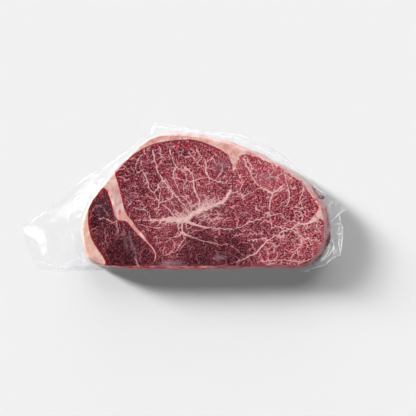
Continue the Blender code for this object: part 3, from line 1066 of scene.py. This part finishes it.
def make_border():
    """The pressed border: the two webs of film from the steak's side out to the bag's cut edge."""
    rng = np.random.default_rng(SEED + 1)
    tree = BVHTree.FromObject(frame["nodes"]["steak"], bpy.context.evaluated_depsgraph_get())
    edge = bag_edge()
    bearings, edge_reach = spread_round(edge, COLUMNS)
    edge_height = np.interp(bearings, edge[:, 0], edge[:, 2], period=2 * math.pi)
    seam = np.full(COLUMNS, SEAM_HEIGHT)
    out = np.column_stack((np.cos(bearings), np.sin(bearings)))
    middle = np.array(CENTRE)
    circle = RING_REACH * out
    loose = MM * (3.2 + 0.8 * waves(circle, rng, 22.0) + 0.5 * waves(circle, rng, 6.0))
    pleat = 0.16 * MM * waves(circle, rng, 2.2)

    def wall_rings(radius, side):
        """Rings of a fillet from the steak's side, above (side 1) or below (side -1), round to the border."""
        rings = []
        for k in range(FILLET_STEPS):
            angle = 0.5 * math.pi * k / FILLET_STEPS
            height = seam + side * radius * (1 - math.sin(angle))
            reach, facing = wall_reach(tree, bearings, height)
            away = reach + (radius * (1 - math.cos(angle)) + pleat * k / FILLET_STEPS) / facing + 0.05 * MM
            rings.append(np.column_stack((middle + out * away[:, None], height)))
        return rings

    def border_rings(radius, offset):
        """Rings of one web from its fillet out to the bag's cut edge, raised by the offset."""
        reach, facing = wall_reach(tree, bearings, seam)
        start = reach + radius / facing
        shares = np.linspace(0, 1, BORDER_STEPS)
        flat = [middle + out * (start + (edge_reach - start) * s)[:, None] for s in shares]
        relief = border_relief(np.concatenate(flat) / MM, np.random.default_rng(SEED + 2)) * MM
        rings = []
        for k, (share, place) in enumerate(zip(shares, flat)):
            length = (edge_reach - start) * share
            height = seam + (edge_height - seam) * math.sin(share * math.pi / 2)
            fade = smooth_step(length, 0, 5 * MM)
            rise = relief[k * COLUMNS : (k + 1) * COLUMNS] * fade + pleat * (1 - fade) * 1.5
            rings.append(np.column_stack((place, np.maximum(height + rise, FLOOR_GAP) + offset)))
        return rings

    above = wall_rings(loose, 1) + border_rings(loose, 0.0)
    below = wall_rings(0.45 * loose, -1) + border_rings(0.45 * loose, -WEB_GAP)
    mesh = ring_mesh("film_border", above + below[::-1])
    ring = np.repeat(np.arange(len(above) + len(below)), COLUMNS)
    depth = np.where(ring < len(above), ring, len(above) + len(below) - 1 - ring)
    places = coordinates(mesh)[:, :2] / MM
    loose_share = smooth_step(depth.astype(float), 0, FILLET_STEPS + 1)
    crests = fold_field(places)[1]
    crests[:, 2] *= loose_share * (0.35 + 0.65 * smooth_step(places[:, 0], 60, 100))
    add_attributes(
        mesh,
        milk=loose_share * (0.03 + ovals(places, SHEENS)),
        crest=crests,
        purge=spots(places, beads(PURGE)),
    )
    mesh.materials.append(film_material())
    border = bpy.data.objects.new("film_border", mesh)
    bpy.context.collection.objects.link(border)
    border.visible_diffuse = False
    border.visible_shadow = False     # thin clear film casts next to none
    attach(border, "root")
    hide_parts("vacuum_bag")


def make_wrap(meat):
    """The film that lies tight on the steak: its own skin, drawn smoother and a hair further out."""
    mesh = meat.data.copy()
    mesh.name = "film_wrap"
    smooth_out(mesh, 3)
    moved = coordinates(mesh) + normals(mesh) * WRAP_GAP
    moved[:, 2] = np.maximum(moved[:, 2], 0.0)
    place_vertices(mesh, moved)
    for attribute in [a.name for a in mesh.attributes if a.domain == "POINT" and a.name != "position"]:
        if not attribute.startswith("."):
            mesh.attributes.remove(mesh.attributes[attribute])
    count = len(moved)
    add_attributes(
        mesh,
        milk=np.zeros(count),
        crest=np.tile((CREST_REACH, CREST_REACH, 0.0), (count, 1)),
        purge=np.full(count, -CREST_REACH),
    )
    mesh.materials.clear()
    mesh.materials.append(film_material())
    wrap = bpy.data.objects.new("film_wrap", mesh)
    bpy.context.collection.objects.link(wrap)
    wrap.visible_diffuse = False
    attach(wrap, "root")


def film_material():
    """Clear film: see-through where it lies flat, glossy where it turns away, whitened along its folds, with
    painted sheen patches.
    """
    if "clear_film" in bpy.data.materials:
        return bpy.data.materials["clear_film"]
    g = Graph("clear_film")
    place = g.add("ShaderNodeTexCoord", {}, "Object")
    aside, gap, height = g.parts(g.vector("crest"))
    aside = g.math("ABSOLUTE", aside)
    near = g.product(height, g.step(gap, 2.4, 1.2))
    ridge = g.product(near, g.step(aside, 1.3, 0.0))
    line = g.product(near, g.step(aside, 0.65, 0.0))

    fine = g.sum(g.noise(place, 4.0 * MM), g.product(g.noise(place, 1.2 * MM), 0.2))
    fine = g.product(fine, g.step(gap, 8.0, 7.0, 0.05, 0.12))      # smoother on the tight film
    bump = g.bump(g.sum(fine, g.product(ridge, 0.9)), 1.0 * MM)
    facing = g.add("ShaderNodeLayerWeight", {"Blend": 0.5, "Normal": bump}, "Facing")
    glance = g.sum(0.02, g.product(g.math("POWER", facing, 8.0), 0.75))
    clear = g.add("ShaderNodeBsdfTransparent", {"Color": (0.992, 0.992, 0.995, 1.0)})
    gloss = g.add("ShaderNodeBsdfGlossy", {"Roughness": 0.16, "Normal": bump, "Color": (1.0, 1.0, 1.0, 1.0)})
    sheet = g.add("ShaderNodeMixShader", {0: glance, 1: clear, 2: gloss})

    white = g.add("ShaderNodeBsdfDiffuse", {"Color": (0.96, 0.96, 0.98, 1.0), "Normal": bump})
    through = g.add("ShaderNodeBsdfTranslucent", {"Color": (0.95, 0.95, 0.97, 1.0), "Normal": bump})
    body = g.add("ShaderNodeMixShader", {0: 0.35, 1: white, 2: through})
    satin_colour = (0.97, 0.97, 0.98, 1.0)
    satin = g.add("ShaderNodeBsdfGlossy", {"Roughness": 0.6, "Normal": bump, "Color": satin_colour})
    body = g.add("ShaderNodeMixShader", {0: g.step(line, 0.0, 1.0, 0.2, 0.6), 1: body, 2: satin})
    cloud = g.step(g.noise(place, 11.0 * MM, 3.0), 0.35, 0.7, 0.45, 1.0)
    # painted highlights: the milky white patches listed in SHEENS stand where the film should catch the light
    # as a sheen
    whiteness = g.math("ADD", g.product(g.value("milk"), cloud), g.product(line, 0.62), clamp=True)
    shader = g.add("ShaderNodeMixShader", {0: whiteness, 1: sheet, 2: body})

    juice = g.add("ShaderNodeBsdfDiffuse", {"Color": colour(150, 46, 36)})
    clots = g.sum(g.value("purge"), g.product(g.even_noise(place, 1.3 * MM, 3.0), 5.0))
    shader = g.add("ShaderNodeMixShader", {0: g.step(clots, -0.7, 0.8, 0.0, 0.85), 1: shader, 2: juice})
    return g.finish(shader)


# ---------------------------------------------------------------- floor, light and camera

VIEW_CENTRE = Vector((19.2, -9.2, 0.0)) * MM
VIEW_WIDTH = 333 * MM
VIEW_HEIGHT = 3.0
SENSOR_WIDTH = 36.0
FLOOR_SIZE = 12.0
FLOOR_LEVEL = -0.3 * MM
WINDOW_BEARING = -29.5
WINDOW_SOFTNESS = 11.0

# Suns close together that make one tall window: name, elevation in degrees, strength.
WINDOWS = (("low", 17.0, 1.68), ("middle", 23.2, 2.16), ("high", 29.4, 1.10))

# Lights that only glint on the film: name, bearing, elevation, softness in degrees, strength.
GLINTS = (("sheen_light", -40.0, 40.0, 40.0, 0.9), ("glint_light", 168.0, 46.0, 36.0, 3.2))


def make_floor():
    level = (0, 0, FLOOR_LEVEL)
    bpy.ops.mesh.primitive_grid_add(x_subdivisions=4, y_subdivisions=4, size=FLOOR_SIZE, location=level)
    floor = bpy.context.object
    floor.name = "floor"
    g = Graph("pale_paper")
    shader = g.add("ShaderNodeBsdfPrincipled", {
        "Base Color": (0.86, 0.86, 0.865, 1.0),
        "Roughness": 0.9,
        "Specular IOR Level": 0.1,
    })
    floor.data.materials.append(g.finish(shader))


def make_sun(name, bearing, elevation, softness, strength):
    """A sun whose light travels along the bearing, in degrees from +X, and comes down at the elevation."""
    light = bpy.data.lights.new(name, "SUN")
    light.energy = strength
    light.angle = math.radians(softness)
    lamp = bpy.data.objects.new(name, light)
    bpy.context.collection.objects.link(lamp)
    turn, fall = math.radians(bearing), math.radians(elevation)
    travel = Vector((math.cos(turn) * math.cos(fall), math.sin(turn) * math.cos(fall), -math.sin(fall)))
    lamp.rotation_mode = "QUATERNION"
    lamp.rotation_quaternion = travel.to_track_quat("-Z", "Y")
    return lamp


def make_lights():
    for name, elevation, strength in WINDOWS:
        make_sun("window_light_" + name, WINDOW_BEARING, elevation, WINDOW_SOFTNESS, strength)
    fill = make_sun("fill_light", -88.0, 30.0, 55.0, 1.54)
    fill.data.cycles.use_multiple_importance_sampling = False
    for name, bearing, elevation, softness, strength in GLINTS:
        glint = make_sun(name, bearing, elevation, softness, strength)
        glint.visible_diffuse = False     # it only glints on the film
    world = bpy.data.worlds.new("studio")
    bpy.context.scene.world = world
    world.use_nodes = True
    background = world.node_tree.nodes["Background"]
    background.inputs["Color"].default_value = (1.0, 1.0, 1.0, 1.0)
    background.inputs["Strength"].default_value = 0.174


def make_camera():
    data = bpy.data.cameras.new("camera")
    data.sensor_width = SENSOR_WIDTH
    data.lens = SENSOR_WIDTH * (VIEW_HEIGHT - STEAK_TOP) / VIEW_WIDTH
    data.clip_end = 20.0
    camera = bpy.data.objects.new("camera", data)
    bpy.context.collection.objects.link(camera)
    camera.location = VIEW_CENTRE + Vector((0, 0, VIEW_HEIGHT))
    bpy.context.scene.camera = camera
    bpy.context.scene.view_settings.view_transform = "Standard"


make_camera()
make_lights()
make_floor()
make_border()
make_wrap(make_meat())
